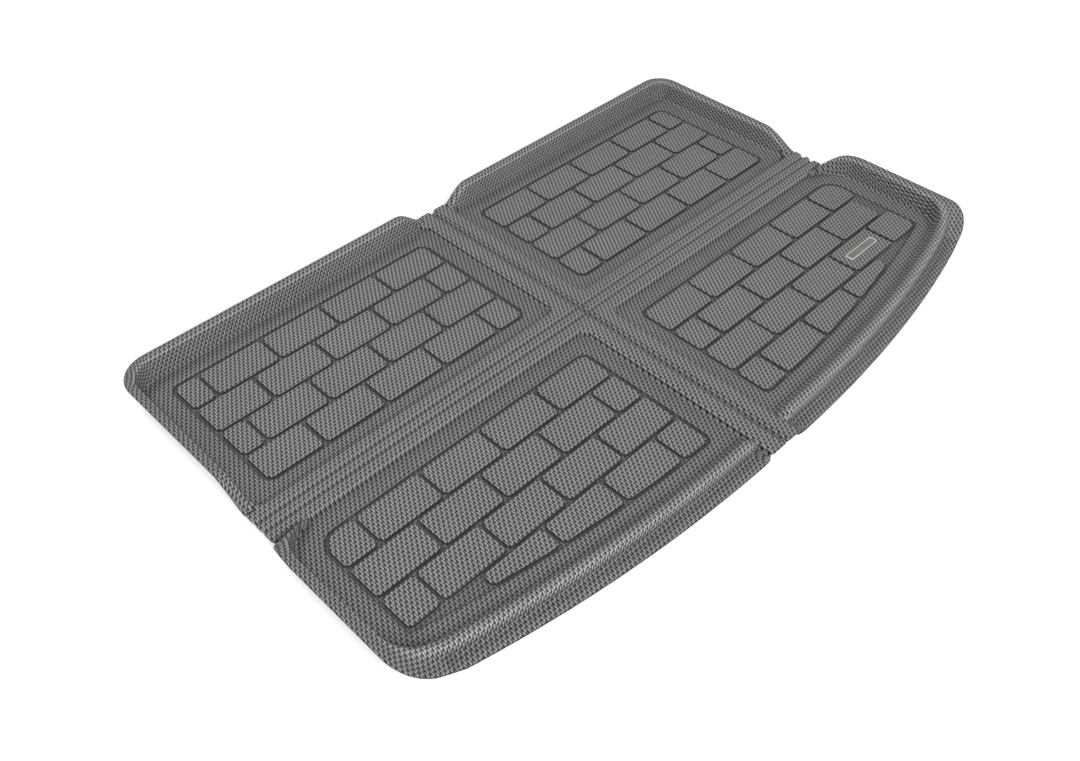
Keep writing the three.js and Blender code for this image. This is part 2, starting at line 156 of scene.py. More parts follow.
# Lips, from their root in the floor to the cut edge
LIP_ROOT = 8
LIP_ROOT_DROP = 0.15
LIP_HEIGHT = 27.5
RIM_RISE = 2.2
RIM_WIDTH = 12.8
RIM_SHOULDER = 1.9
RIM_SLOPE_SHARE = 0.56
RIM_TOP_SHARES = (0.2, 0.4)
WALL_LEAN = 3
EDGE_ROLL = 1.2
EDGE_ROLL_WIDTH = 2.4
EDGE_LAND = 0.9
EDGE_TAPER = 5
# Painted highlights on the rims, crest and flange and painted shade along the cut edge, one share for each
# corner of a section
LIP_PAINTED_LIGHT = (0, 0.12, 0.05, 0.35, 0, 0, 0, 0, -0.55, -0.7, -0.3, 0, 0, 0, 0, 0)
CREST_PAINTED_LIGHT = (0.05, 0.2, 0.1, 0.5, 0, 0.6, -0.05, 0.1, -0.55, -0.7, -0.3, 0, 0, 0, 0, 0)
# Radius that softens each corner of a section
LIP_RADII = (0, 3.5, 1.6, 1.6, 3, 0, 0, 1.4, 0.6, 0.4, 1, 2, 2, 1, 2, 0)
CREST_RADII = (0, 4, 3.4, 3.2, 2.4, 0, 0, 1.4, 0.6, 0.4, 1, 2, 2, 2, 2, 0)

# Runs of the lips down to the bands
SIDE_RAMP = 55
FRONT_RAMP = 36
RAMP_POWER = 1.25
RAMP_CROWDING = 1.4
SHOULDER_START = 6
SHOULDER_END = 51
SHOULDER_INSET = 2

# Sill crest and flange
CREST_HEIGHT = 14.4
CREST_WIDTH = 11.5
CREST_INNER_LEAN = 8
CREST_OUTER_LEAN = 1.6
CREST_FALL = 0.6
CREST_END_SHARE = 0.4
CREST_RUN_OUT = 14
FLANGE_END_INSET = {-1: 4, 1: 1.2}
FLANGE_WIDTH = 19.4
FLANGE_STEP = 3
SILL_TURN = (0.1, 1.5)

# Raised cross of fold bands
FOLD_X = -4
FOLD_Y = 11.4
FOLD_HALF = 26.5
FOLD_HEIGHT = 7.7
FOLD_SIDE_LEAN = 1.4
FOLD_SHOULDER_WIDTH = 3.3
FOLD_SHOULDER_DROP = 3.6
FOLD_FOOT = 4
FOLD_END_INSET = 0.8
FOLD_END_LAND = 2.2
BAND_RADII = (0, 0, 3, 1.6, 2.2, 2.2, 1.6, 3, 0, 0)
# Foot of a band, darkened with painted shade, as share of painted light and as heights
FOOT_PAINTED_SHADE = -0.4
FOOT_LOW = 4.8
FOOT_HIGH = 6.2
# Grooves in the bands
GROOVE_FLOOR_HALF = 1.5
GROOVE_SIDE_HALF = 0.75
GROOVE_SIDE_DEPTH = 0.35
GROOVE_ROLL = 2.4
GROOVE_RADII = (1.3, 1.4, 1.8, 0, 0, 0, 0, 1.8, 1.4, 1.3)
RIDGE_GROOVES = (-7.3, 7.3)
RIDGE_GROOVE_HALF = 4.6
RIDGE_GROOVE_DEPTH = 3.4
HINGE_GROOVE_HALF = 5.6
HINGE_GROOVE_DEPTH = 4

# Pads and the fields they stand in
PAD_PITCH = 88
ROW_PITCH = 49.4
ROWS = 4
FIRST_JOINT = 96.4
FIELD_FROM_FOLD = 52.3
ROWS_FROM_FOLD = 50.5
FIELD_INSETS = {-1: 47, 1: 41.6}
FIELD_FROM_SILL = 65
FIELD_CORNER = 11
SHOULDER_FIELD_CORNER = 25
PAD_GROOVE = 4.2
PAD_BASE = 2.2
PAD_CORNER = 6.5
PAD_CORNER_SEGMENTS = 5
PAD_ROLL = 1.2
PAD_ROLL_SEGMENTS = 3
PAD_ROOT = 1
SHORTEST_PAD = 18
LOWEST_PAD = 12
# Outer side of the border groove, as reach beyond the groove and height
BORDER_PROFILE = (
    (-0.8, 2.2), (-0.25, 2.45), (0, 3), (0.2, 3.9), (0.8, 4.35), (2.4, 4.6), (4.8, 4.86), (7.5, 5.03),
)

# Badge: its corners, then its rim and sunk face as inset and height
BADGE_RADIUS = 3
BADGE_LEAST_RADIUS = 0.5
BADGE_PROFILE = (
    (0, 0), (0, 0.9), (0.12, 1.25), (0.4, 1.5), (0.8, 1.6), (1.5, 1.6), (1.7, 1.5), (1.85, 1.25),
    (2.3, 1.15),
)

# Places worked out from those sizes
SILL_EDGE = -DEPTH / 2
FRONT_EDGE = DEPTH / 2
REAR_EDGES = {-1: -REAR_WIDTH / 2, 1: REAR_WIDTH / 2}
FRONT_EDGES = {-1: REAR_EDGES[-1] + LEFT_STEP, 1: REAR_EDGES[1] - RIGHT_STEP}
LIP_REACH = RIM_WIDTH + WALL_LEAN
CREST_REACH = CREST_INNER_LEAN + CREST_WIDTH + CREST_OUTER_LEAN + FLANGE_WIDTH
FOLD_TOP = FLOOR_TOP + FOLD_HEIGHT

# Overlap of joined forms, reach of cutters past the sheet, and corners that other forms cover
SEAM = 2
PAST = 1
ABOVE = 60
COVERED = 0.1

# Steps along the swept forms
RAMP_STEPS = 12
CORNER_STEPS = 12
SHOULDER_STEPS = 18
BLEND_STEPS = 4
BOW_STEPS = 36
END_STEPS = 10
ROUND_STEPS = 4
ROUND_REACH = 0.45

# Angles and small distances that tell edges apart, and the pull of large faces on the shading
FLAT_ANGLE = math.radians(1)
PROUD_ANGLE = math.radians(35)
SHEET_SHARP_ANGLE = math.radians(42)
BADGE_SHARP_ANGLE = math.radians(35)
UPRIGHT_RISE = 1
LEVEL_GAP = 0.01
TINY_EDGE = 0.005
EVEN_WEIGHT = 60


def camera():
    data = bpy.data.cameras.new("camera")
    data.lens = LENS
    data.sensor_width = SENSOR
    view = bpy.data.objects.new("camera", data)
    view.rotation_euler = CAMERA_LOOK.to_track_quat("-Z", "Y").to_euler()
    view.location = CAMERA_PLACE
    bpy.context.scene.collection.objects.link(view)
    bpy.context.scene.camera = view


def area_light(name, place, size, watts):
    """Round lamp that faces the middle of the sheet."""
    data = bpy.data.lights.new(name, "AREA")
    data.shape = "DISK"
    data.size = size
    data.energy = watts
    lamp = bpy.data.objects.new(name, data)
    lamp.location = place
    lamp.rotation_euler = (-Vector(place)).to_track_quat("-Z", "Y").to_euler()
    bpy.context.scene.collection.objects.link(lamp)


class Nodes:
    """Short way to build a material's node tree."""

    def __init__(self, tree):
        self.tree = tree
        tree.nodes.clear()

    def add(self, kind, **settings):
        node = self.tree.nodes.new(kind)
        for key, value in settings.items():
            setattr(node, key, value)
        return node

    def link(self, out, into):
        self.tree.links.new(out, into)

    def math(self, operation, *inputs):
        node = self.add("ShaderNodeMath", operation=operation)
        for i, value in enumerate(inputs):
            if isinstance(value, (int, float)):
                node.inputs[i].default_value = value
            else:
                self.link(value, node.inputs[i])
        return node.outputs[0]

    def ramp(self, value, low, high, to_low=0.0, to_high=1.0):
        node = self.add("ShaderNodeMapRange", interpolation_type="SMOOTHSTEP")
        node.inputs["From Min"].default_value = low
        node.inputs["From Max"].default_value = high
        node.inputs["To Min"].default_value = to_low
        node.inputs["To Max"].default_value = to_high
        self.link(value, node.inputs["Value"])
        return node.outputs["Result"]

    def noise(self, vector, scale, detail, roughness):
        node = self.add("ShaderNodeTexNoise")
        node.inputs["Scale"].default_value = scale
        node.inputs["Detail"].default_value = detail
        node.inputs["Roughness"].default_value = roughness
        self.link(vector, node.inputs["Vector"])
        return node.outputs["Fac"]

    def axes(self, vector):
        node = self.add("ShaderNodeSeparateXYZ")
        self.link(vector, node.inputs["Vector"])
        return node.outputs

    def bump(self, height, strength, distance, shader):
        """Bump of a height, in millimetres, on a shader."""
        node = self.add("ShaderNodeBump")
        node.inputs["Strength"].default_value = strength
        node.inputs["Distance"].default_value = distance * MM
        self.link(height, node.inputs["Height"])
        self.link(node.outputs["Normal"], shader.inputs["Normal"])

    def by_height(self, high, stops):
        """Factor that changes with height, from pairs of height in millimetres and factor."""
        node = self.add("ShaderNodeValToRGB")
        top = stops[-1][0]
        self.link(self.math("DIVIDE", high, top * MM), node.inputs["Fac"])
        steps = node.color_ramp.elements
        while len(steps) < len(stops):
            steps.new(1.0)
        for step, (place, factor) in zip(steps, stops):
            step.position = place / top
            step.color = (factor / 2, factor / 2, factor / 2, 1.0)
        return self.math("MULTIPLY", node.outputs["Color"], 2.0)

    def mix(self, factor, low, high):
        node = self.add("ShaderNodeMix", data_type="RGBA")
        self.link(factor, node.inputs["Factor"])
        node.inputs["A"].default_value = low
        node.inputs["B"].default_value = high
        return node.outputs["Result"]


def grey(value, warmth=0.0):
    return (value * (1 + warmth), value, value * (1 - warmth), 1.0)


def new_material(name):
    """Empty material with its output; gives the material, its nodes and the surface socket."""
    material = bpy.data.materials.new(name)
    material.use_nodes = True
    n = Nodes(material.node_tree)
    return material, n, n.add("ShaderNodeOutputMaterial").inputs["Surface"]


def principled(name):
    material, n, surface = new_material(name)
    shader = n.add("ShaderNodeBsdfPrincipled")
    n.link(shader.outputs["BSDF"], surface)
    return material, n, shader


def woven_threads(n):
    """Tone and height of the weave, as waves that run over the lattice of threads; the tone is painted
    shade in the gaps and painted highlight on the threads.
    """
    weave = n.axes(n.add("ShaderNodeUVMap", uv_map="weave").outputs["UV"])
    across = n.math("MULTIPLY", weave["X"], 2 * math.pi / THREAD_ACROSS)
    along = n.math("MULTIPLY", weave["Y"], 2 * math.pi / THREAD_ALONG)
    tone = height = None
    for turns_across, turns_along, phase, painted_light_share, height_share in THREADS:
        angle_across = n.math("MULTIPLY", across, turns_across)
        angle = n.math("ADD", angle_across, n.math("MULTIPLY", along, turns_along))
        wave = n.math("COSINE", n.math("ADD", angle, math.radians(phase)))
        painted_light_part = n.math("MULTIPLY", wave, painted_light_share)
        height_part = n.math("MULTIPLY", wave, height_share)
        tone = n.math("ADD", tone, painted_light_part) if tone else painted_light_part
        height = n.math("ADD", height, height_part) if height else height_part
    return tone, height


def fold_shade(n, spot):
    """Shares of painted shade beside the bands and in the groove along the middle fold."""
    from_across = n.math("ABSOLUTE", n.math("SUBTRACT", spot["Y"], FOLD_Y * MM))
    from_along = n.math("ABSOLUTE", n.math("SUBTRACT", spot["X"], FOLD_X * MM))
    nearest = n.math("MINIMUM", from_across, from_along)
    beside = n.ramp(nearest, FOLD_HALF * MM, (FOLD_HALF + BESIDE_REACH) * MM, BESIDE_SHADE_TONE, 1.0)
    above = n.ramp(spot["Z"], BESIDE_LOW * MM, BESIDE_HIGH * MM)
    hinge = n.ramp(from_along, HINGE_DARK * MM, HINGE_CLEAR * MM, HINGE_SHADE_TONE, 1.0)
    return n.math("MAXIMUM", beside, above), hinge


def sheet_shares(n, spot, clear, sky):
    """Shares that darken or brighten the moulding: the pads' tone, and painted shade and highlights by its
    form, height and marked places.
    """
    pad = n.add("ShaderNodeAttribute", attribute_name="pad").outputs["Fac"]
    painted_light = n.add("ShaderNodeAttribute", attribute_name="painted_light").outputs["Fac"]
    return (
        n.ramp(pad, 0.0, 1.0, 1.0, PAD_GAIN),
        n.by_height(spot["Z"], SHADE_AND_HIGHLIGHT_BY_HEIGHT),
        *fold_shade(n, spot),
        n.ramp(clear, 0.0, 1.0, GROOVE_SHADE_TONE, 1.0),
        n.math("ADD", painted_light, 1.0),
        n.ramp(sky, SHADE_DEEP, 1.0, SHADE_FLOOR, 1.0),
    )


def sheet_material():
    """Black-grey moulding with a woven emboss, with painted shade in its grooves and painted highlights on
    its raised parts.
    """
    material, n, shader = principled("liner_sheet")
    place = n.add("ShaderNodeTexCoord").outputs["Object"]
    spot = n.axes(place)
    fibre = n.noise(place, *FIBRE_NOISE)
    mottle = n.noise(place, *MOTTLE_NOISE)
    shade = n.add("ShaderNodeAmbientOcclusion", samples=SHADE_SAMPLES)
    shade.inputs["Distance"].default_value = SHADE_REACH * MM
    sky = shade.outputs["AO"]
    raised = n.ramp(spot["Z"], GROOVE_DARK * MM, GROOVE_CLEAR * MM)
    clear = n.math("MAXIMUM", raised, n.ramp(sky, SKY_CLOSED, SKY_OPEN))

    thread_painted_light, thread_height = woven_threads(n)
    height = n.math("MULTIPLY", thread_height, clear)
    height = n.math("ADD", height, n.math("MULTIPLY", fibre, FIBRE_HEIGHT))
    n.bump(height, 1.0, WEAVE_HEIGHT, shader)

    # The weave's tone paints shade into the thread gaps and highlights onto the thread tops
    tone = n.math("MULTIPLY", n.math("MULTIPLY", thread_painted_light, clear), SHEET_TONE)
    tone = n.math("MAXIMUM", n.math("ADD", tone, SHEET_TONE), LEAST_TONE)
    tone = n.math("MULTIPLY", tone, n.ramp(mottle, *NOISE_RANGE, *MOTTLE_TONES))
    tone = n.math("MULTIPLY", tone, n.ramp(fibre, *NOISE_RANGE, *FIBRE_TONES))
    for share in sheet_shares(n, spot, clear, sky):
        tone = n.math("MULTIPLY", tone, share)
    n.link(n.mix(tone, grey(0.0), grey(1.0)), shader.inputs["Base Color"])
    shader.inputs["Roughness"].default_value = SHEET_ROUGHNESS
    shader.inputs["Specular IOR Level"].default_value = SHEET_SPECULAR
    return material


def badge_material(face_top):
    """Steel: a polished rim round a darker face, brushed along the plate, with a few faint stains."""
    material, n, shader = principled("badge_metal")
    place = n.add("ShaderNodeTexCoord").outputs["Object"]
    drawn = n.add("ShaderNodeVectorMath", operation="MULTIPLY")
    drawn.inputs[1].default_value = BRUSH_STRETCH
    n.link(place, drawn.inputs[0])
    brushed = n.noise(drawn.outputs["Vector"], *BRUSH_NOISE)
    stain = n.noise(place, *STAIN_NOISE)
    n.bump(brushed, BRUSH_STRENGTH, BRUSH_HEIGHT, shader)
    level = n.ramp(n.axes(n.add("ShaderNodeNewGeometry").outputs["Normal"])["Z"], *BADGE_LEVEL)
    sunk = n.math("LESS_THAN", n.axes(place)["Z"], face_top)
    face = n.math("MULTIPLY", level, sunk)
    brushing = n.ramp(brushed, *METAL_RANGE, *BRUSH_TONES)
    tone = n.math("MULTIPLY", brushing, n.ramp(stain, *METAL_RANGE, *STAIN_TONES))
    tone = n.math("MULTIPLY", tone, n.ramp(face, 0.0, 1.0, BADGE_EDGE_TONE, BADGE_TONE))
    n.link(n.mix(tone, grey(0.0), grey(1.0, BADGE_WARMTH)), shader.inputs["Base Color"])
    n.link(n.ramp(stain, *METAL_RANGE, *STAIN_ROUGHNESS), shader.inputs["Roughness"])
    shader.inputs["Metallic"].default_value = 1.0
    return material


def floor_material():
    """Pale floor that keeps shadows, shows white to the camera far off and is clear from below."""
    material, n, surface = new_material("studio_floor")
    diffuse = n.add("ShaderNodeBsdfDiffuse")
    diffuse.inputs["Color"].default_value = grey(FLOOR_COLOUR)
    lift = n.add("ShaderNodeEmission")
    seen = n.add("ShaderNodeLightPath").outputs["Is Camera Ray"]
    reach = n.add("ShaderNodeVectorMath", operation="LENGTH")
    n.link(n.add("ShaderNodeTexCoord").outputs["Object"], reach.inputs[0])
    whiteness = n.ramp(reach.outputs["Value"], FLOOR_LIT, FLOOR_FAR, FLOOR_LIFT, 1.0)
    n.link(n.math("MULTIPLY", seen, whiteness), lift.inputs["Strength"])
    both = n.add("ShaderNodeAddShader")
    n.link(diffuse.outputs[0], both.inputs[0])
    n.link(lift.outputs[0], both.inputs[1])
    below = n.add("ShaderNodeMixShader")
    n.link(n.add("ShaderNodeNewGeometry").outputs["Backfacing"], below.inputs[0])
    n.link(both.outputs[0], below.inputs[1])
    n.link(n.add("ShaderNodeBsdfTransparent").outputs[0], below.inputs[2])
    n.link(below.outputs[0], surface)
    return material


def studio_floor():
    mesh = bpy.data.meshes.new("studio_floor")
    bm = bmesh.new()
    bmesh.ops.create_grid(bm, x_segments=1, y_segments=1, size=FLOOR_SIZE)
    bmesh.ops.translate(bm, verts=bm.verts, vec=(0, 0, FLOOR_Z))
    bm.to_mesh(mesh)
    bm.free()
    floor = bpy.data.objects.new("studio_floor", mesh)
    bpy.context.scene.collection.objects.link(floor)
    mesh.materials.append(floor_material())


def studio_world():
    """World that shows white to the camera, gloss and glass, and lights the sheet only softly."""
    world = bpy.data.worlds.new("studio")
    bpy.context.scene.world = world
    world.use_nodes = True
    n = Nodes(world.node_tree)
    out = n.add("ShaderNodeOutputWorld")
    background = n.add("ShaderNodeBackground")
    background.inputs["Color"].default_value = grey(1.0)
    path = n.add("ShaderNodeLightPath")
    seen = n.math("MAXIMUM", path.outputs["Is Camera Ray"], path.outputs["Is Glossy Ray"])
    seen = n.math("MAXIMUM", seen, path.outputs["Is Transmission Ray"])
    strength = n.math("ADD", n.math("MULTIPLY", seen, 1 - FILL_STRENGTH), FILL_STRENGTH)
    n.link(strength, background.inputs["Strength"])
    n.link(background.outputs[0], out.inputs["Surface"])


def lerp(low, high, t):
    return low + (high - low) * t


def eased(t, low, high):
    t = min(max((t - low) / (high - low), 0.0), 1.0)
    return t * t * (3 - 2 * t)


def curve_points(start, control, end, steps):
    """Points of a quadratic curve from start to end."""
    shares = [k / steps for k in range(steps + 1)]
    return [start * (1 - t) ** 2 + control * (2 * t * (1 - t)) + end * t * t for t in shares]


def softened(corners, radii):
    """Closed outline whose corners are turned on small curves; a radius of 0 keeps a corner sharp."""
    corners = [Vector(corner) for corner in corners]
    points = []
    for i, (corner, radius) in enumerate(zip(corners, radii)):
        if radius == 0:
            points.append(corner)
            continue
        back = corners[i - 1] - corner
        ahead = corners[(i + 1) % len(corners)] - corner
        start = corner + back.normalized() * min(radius, ROUND_REACH * back.length)
        end = corner + ahead.normalized() * min(radius, ROUND_REACH * ahead.length)
        points += curve_points(start, corner, end, ROUND_STEPS)
    return points


def bow(x):
    """Where the bowed sill edge lies at a place across the sheet."""
    reach = REAR_WIDTH / 2 + BOW_CENTRE
    return SILL_EDGE + BOW_DEPTH * abs((x - BOW_CENTRE) / reach) ** BOW_POWER


def extruded_ring(bm, ring, places):
    """Extrudes a ring of edges and sets the new ring on its places."""
    edges = [bm.edges.get((ring[i - 1], ring[i])) for i in range(len(ring))]
    made = bmesh.ops.extrude_edge_only(bm, edges=edges)
    fresh = {vert for vert in made["geom"] if isinstance(vert, bmesh.types.BMVert)}
    after = []
    for old, place in zip(ring, places):
        new = next(edge.other_vert(old) for edge in old.link_edges if edge.other_vert(old) in fresh)
        new.co = place
        after.append(new)
    return after


def grow(bm, rings):
    """Closed form grown from its first ring through the others; gives its vertices, ring by ring."""
    ring = [bm.verts.new(place) for place in rings[0]]
    bm.faces.new(ring)
    grown = [ring]
    for places in rings[1:]:
        ring = extruded_ring(bm, ring, places)
        grown.append(ring)
    bm.faces.new(ring)
    return grown


def flat_weave(bm):
    """Lays the weave flat in plan."""
    layer = bm.loops.layers.uv.new("weave")
    for face in bm.faces:
        for loop in face.loops:
            loop[layer].uv = loop.vert.co.xy


def form(bm, pad=0.0):
    """Turns a bmesh into an object to join or cut with, marked as pad or not."""
    bmesh.ops.recalc_face_normals(bm, faces=bm.faces)
    mark = bm.verts.layers.float.new("pad")
    # Layer of painted highlight and shade, nothing unless a piece sets it
    if not bm.verts.layers.float.get("painted_light"):
        bm.verts.layers.float.new("painted_light")
    for vert in bm.verts:
        vert[mark] = pad
    mesh = bpy.data.meshes.new("form")
    bm.to_mesh(mesh)
    bm.free()
    made = bpy.data.objects.new("form", mesh)
    bpy.context.scene.collection.objects.link(made)
    return made


def grown_form(*forms):
    bm = bmesh.new()
    for rings in forms:
        grow(bm, rings)
    flat_weave(bm)
    return form(bm)


def combine(base, operation, others):
    """Joins, cuts or crosses a form with others, which are used up."""
    for other in others:
        step = base.modifiers.new("step", "BOOLEAN")
        step.operation = operation
        step.solver = "MANIFOLD"
        step.object = other
    depsgraph = bpy.context.evaluated_depsgraph_get()
    mesh = bpy.data.meshes.new_from_object(base.evaluated_get(depsgraph))
    base.modifiers.clear()
    base.data = mesh
    for other in others:
        bpy.data.objects.remove(other)
    return base


def levels(outline, heights):
    """Rings of an outline that depends on an inset, given as pairs of inset and height."""
    return [[(p.x, p.y, z) for p in outline(inset)] for inset, z in heights]


# Raised cross


def band_profile():
    """Half section of a band, from its foot up to the crown, as distance from the fold and height."""
    knee = FOLD_HALF - FOLD_SIDE_LEAN
    crown = knee - FOLD_SHOULDER_WIDTH
    low = FLOOR_TOP - LIP_ROOT_DROP
    return [(FOLD_HALF + FOLD_FOOT, 0), (FOLD_HALF + FOLD_FOOT, low), (FOLD_HALF, low),
            (knee, FOLD_TOP - FOLD_SHOULDER_DROP), (crown, FOLD_TOP)]


def band_section():
    right = band_profile()
    left = [(-across, z) for across, z in reversed(right)]
    return softened(right + left, BAND_RADII)


def hollow_section(high):
    """Section of the hollow under a band."""
    half = FOLD_HALF - SKIN
    knee = half - FOLD_SIDE_LEAN
    crown = knee - FOLD_SHOULDER_WIDTH
    right = [Vector((half, -PAST)), Vector((knee, high - FOLD_SHOULDER_DROP)), Vector((crown, high))]
    return right + [Vector((-p.x, p.y)) for p in reversed(right)]


def groove_section(offset, half, depth):
    """Section that cuts a soft groove and rolls the ridges beside it."""
    rolled = half + GROOVE_ROLL
    side = [(GROOVE_FLOOR_HALF, FOLD_TOP - depth),
            (GROOVE_SIDE_HALF * half, FOLD_TOP - GROOVE_SIDE_DEPTH * depth),
            (half, FOLD_TOP), (rolled, FOLD_TOP + LIP_ROOT_DROP), (rolled, FOLD_TOP + depth)]
    far = [(-across, z) for across, z in reversed(side)]
    points = softened(side + far, GROOVE_RADII)
    return [p + Vector((offset, 0)) for p in points]


def bar_across(section, low, high):
    return [[(x, FOLD_Y + p.x, p.y) for p in section] for x in (low, high)]


def bar_along(section, low, high):
    return [[(FOLD_X + p.x, y, p.y) for p in section] for y in (low, high)]


def end_wedge(x, y, towards):
    """Wedge under a band's end, which leaves a thin land there."""
    height = FOLD_TOP - FOLD_END_LAND
    half = FOLD_HALF + FOLD_FOOT + PAST
    inward = Vector(towards)
    across = Vector((-inward.y, inward.x))
    rings = []
    for shift in (-half, half):
        start = Vector((x, y)) + across * shift
        ring = []
        for reach, z in ((-PAST, -PAST), (height, -PAST), (0, height), (-PAST, height)):
            place = start + inward * reach
            ring.append((place.x, place.y, z))
        rings.append(ring)
    return rings


def tray_corner(x, y, toward_x, toward_y, limit_x=CORNER_REACH, limit_y=CORNER_REACH):
    """Fill of a tray's corner, which carries the band's shoulder round it."""
    cx = x + toward_x * TRAY_CORNER
    cy = y + toward_y * TRAY_CORNER
    half_section = 2 + 3 * (ROUND_STEPS + 1)
    profile = band_section()[:half_section]
    rings = []
    for spread, z in profile:
        radius = TRAY_CORNER + FOLD_HALF - spread + CORNER_BITE
        back_x = min(radius, limit_x) + SEAM
        back_y = min(radius, limit_y) + SEAM
        ring = [(cx - toward_x * back_x, cy - toward_y * back_y, z), (cx, cy - toward_y * back_y, z)]
        for k in range(CORNER_STEPS + 1):
            angle = k / CORNER_STEPS * math.pi / 2
            out_x = min(radius * math.sin(angle), limit_x)
            out_y = min(radius * math.cos(angle), limit_y)
            ring.append((cx - toward_x * out_x, cy - toward_y * out_y, z))
        ring.append((cx - toward_x * back_x, cy, z))
        rings.append(ring)
    return rings


def paint_foot_shade(piece):
    """Marks the foot of a band with painted shade."""
    for vert, painted_light in zip(piece.data.vertices, piece.data.attributes["painted_light"].data):
        if FOOT_LOW < vert.co.z < FOOT_HIGH:
            painted_light.value = FOOT_PAINTED_SHADE
    return piece


def fold_cuts(left, right, rear, front):
    """What is cut from the cross: the hollow, the grooves, and a wedge under each end."""
    hollow = hollow_section(FOLD_TOP - HINGE_GROOVE_DEPTH - BAND_SKIN)
    hinge = groove_section(0, HINGE_GROOVE_HALF, HINGE_GROOVE_DEPTH)
    across = [groove_section(offset, RIDGE_GROOVE_HALF, RIDGE_GROOVE_DEPTH) for offset in RIDGE_GROOVES]
    cuts = [bar_across(hollow, left - PAST, right + PAST), bar_along(hollow, rear - PAST, front + PAST)]
    cuts += [bar_across(groove, left - PAST, right + PAST) for groove in across]
    cuts.append(bar_along(hinge, rear - PAST, front + PAST))
    ends = [(left, FOLD_Y, (1, 0)), (right, FOLD_Y, (-1, 0)),
            (FOLD_X, rear, (0, 1)), (FOLD_X, front, (0, -1))]
    cuts += [end_wedge(*end) for end in ends]
    return [grown_form(cut) for cut in cuts]


def fold_cross():
    left = FRONT_EDGES[-1] + FOLD_END_INSET
    right = FRONT_EDGES[1] - FOLD_END_INSET
    rear = bow(FOLD_X) + FOLD_END_INSET
    front = FRONT_EDGE - FOLD_END_INSET
    section = band_section()
    cross = grown_form(bar_across(section, left, right))
    cross = combine(cross, "UNION", [grown_form(bar_along(section, rear, front))])
    return paint_foot_shade(combine(cross, "DIFFERENCE", fold_cuts(left, right, rear, front)))


# Lips and sill crest


def lip_corners(lift, reach):
    """Corners of a lip's section: root, wall, rim, cut edge, and back along the underside."""
    inner = FOLD_HEIGHT + (LIP_HEIGHT - FOLD_HEIGHT) * lift
    rim = inner + RIM_RISE * lift
    slope = RIM_SLOPE_SHARE * reach
    lean = WALL_LEAN
    return [(-LIP_ROOT, -LIP_ROOT_DROP), (0, 0), (lean, inner - RIM_SHOULDER), (lean + RIM_SHOULDER, inner),
            (slope, rim), *((lerp(slope, reach, share), rim) for share in RIM_TOP_SHARES),
            (reach - EDGE_ROLL_WIDTH, rim), (reach, rim - EDGE_ROLL), (reach, rim - EDGE_ROLL - EDGE_LAND),
            (reach - EDGE_TAPER, rim - SKIN), (slope, rim - SKIN), (lean + SKIN, inner - SKIN),
            (lean + SKIN, inner - RIM_SHOULDER - SKIN), (SKIN, -FLOOR_TOP), (-LIP_ROOT, -FLOOR_TOP)]


def crest_corners(reach, crest):
    """Corners of the sill's section, matching a lip's: root, crest, flange, cut edge and underside."""
    scale = reach / CREST_REACH
    crest_out = CREST_INNER_LEAN + CREST_WIDTH
    wall_out = crest_out + CREST_OUTER_LEAN
    return [(-LIP_ROOT, -LIP_ROOT_DROP), (0, 0), (CREST_INNER_LEAN * scale, crest - CREST_FALL),
            (crest_out * scale, crest), (wall_out * scale, 0), ((wall_out + FLANGE_STEP) * scale, 0),
            ((wall_out + 2 * FLANGE_STEP) * scale, 0), (reach - EDGE_ROLL_WIDTH, 0), (reach, -EDGE_ROLL),
            (reach, -EDGE_ROLL - EDGE_LAND), (reach - EDGE_TAPER, -FLOOR_TOP),
            ((wall_out - SKIN) * scale, -FLOOR_TOP), ((crest_out - SKIN) * scale, crest - SKIN),
            ((CREST_INNER_LEAN + SKIN) * scale, crest - SKIN), (SKIN * scale, -FLOOR_TOP),
            (-LIP_ROOT, -FLOOR_TOP)]


def sheet_section(lift, sill, reach, crest):
    """Section of the sheet from a tray to its edge, with its painted highlights and shade: a lip at sill 0,
    the crest at 1.
    """
    pairs = zip(lip_corners(lift, reach), crest_corners(reach, crest))
    corners = [Vector(a).lerp(Vector(b), sill) for a, b in pairs]
    radii = [lerp(a, b, sill) for a, b in zip(LIP_RADII, CREST_RADII)]
    painted_light = [lerp(a, b, sill) for a, b in zip(LIP_PAINTED_LIGHT, CREST_PAINTED_LIGHT)]
    section = softened(corners, radii)
    nearest = [min(range(len(painted_light)), key=lambda i: (corners[i] - point).length) for point in section]
    return section, [painted_light[i] for i in nearest]


def carried_sheet(stations):
    """Sheet section carried along stations of foot, edge, lift, sill and crest; the weave runs up it."""
    bm = bmesh.new()
    layer = bm.loops.layers.uv.new("weave")
    painted_layer = bm.verts.layers.float.new("painted_light")
    rings, weaves, painted_lights = [], [], []
    for foot, edge, lift, sill, crest in stations:
        section, painted_light = sheet_section(lift, sill, (edge - foot).length, crest)
        outward = (edge - foot).normalized()
        travel = -LIP_ROOT
        ring, weave = [], []
        for i, point in enumerate(section):
            travel += (point - section[i - 1]).length if i else 0
            place = foot + outward * point.x
            ring.append((place.x, place.y, FLOOR_TOP + point.y))
            weave.append(foot + outward * travel)
        rings.append(ring)
        weaves.append(weave)
        painted_lights.append(painted_light)
    laid = {}
    # Each vertex keeps its share of painted highlight or shade
    for ring, weave, painted_light in zip(grow(bm, rings), weaves, painted_lights):
        laid.update(zip(ring, weave))
        for vert, share in zip(ring, painted_light):
            vert[painted_layer] = share
    for face in bm.faces:
        for loop in face.loops:
            loop[layer].uv = laid[loop.vert]
    return form(bm)


def ramp_lift(t):
    """Share of the full lip height along the ramp where a lip runs down to a band."""
    return math.sin(t * math.pi / 2) ** RAMP_POWER


def station(foot, edge, lift, sill=0.0, crest=CREST_HEIGHT):
    return Vector(foot), Vector(edge), lift, sill, crest


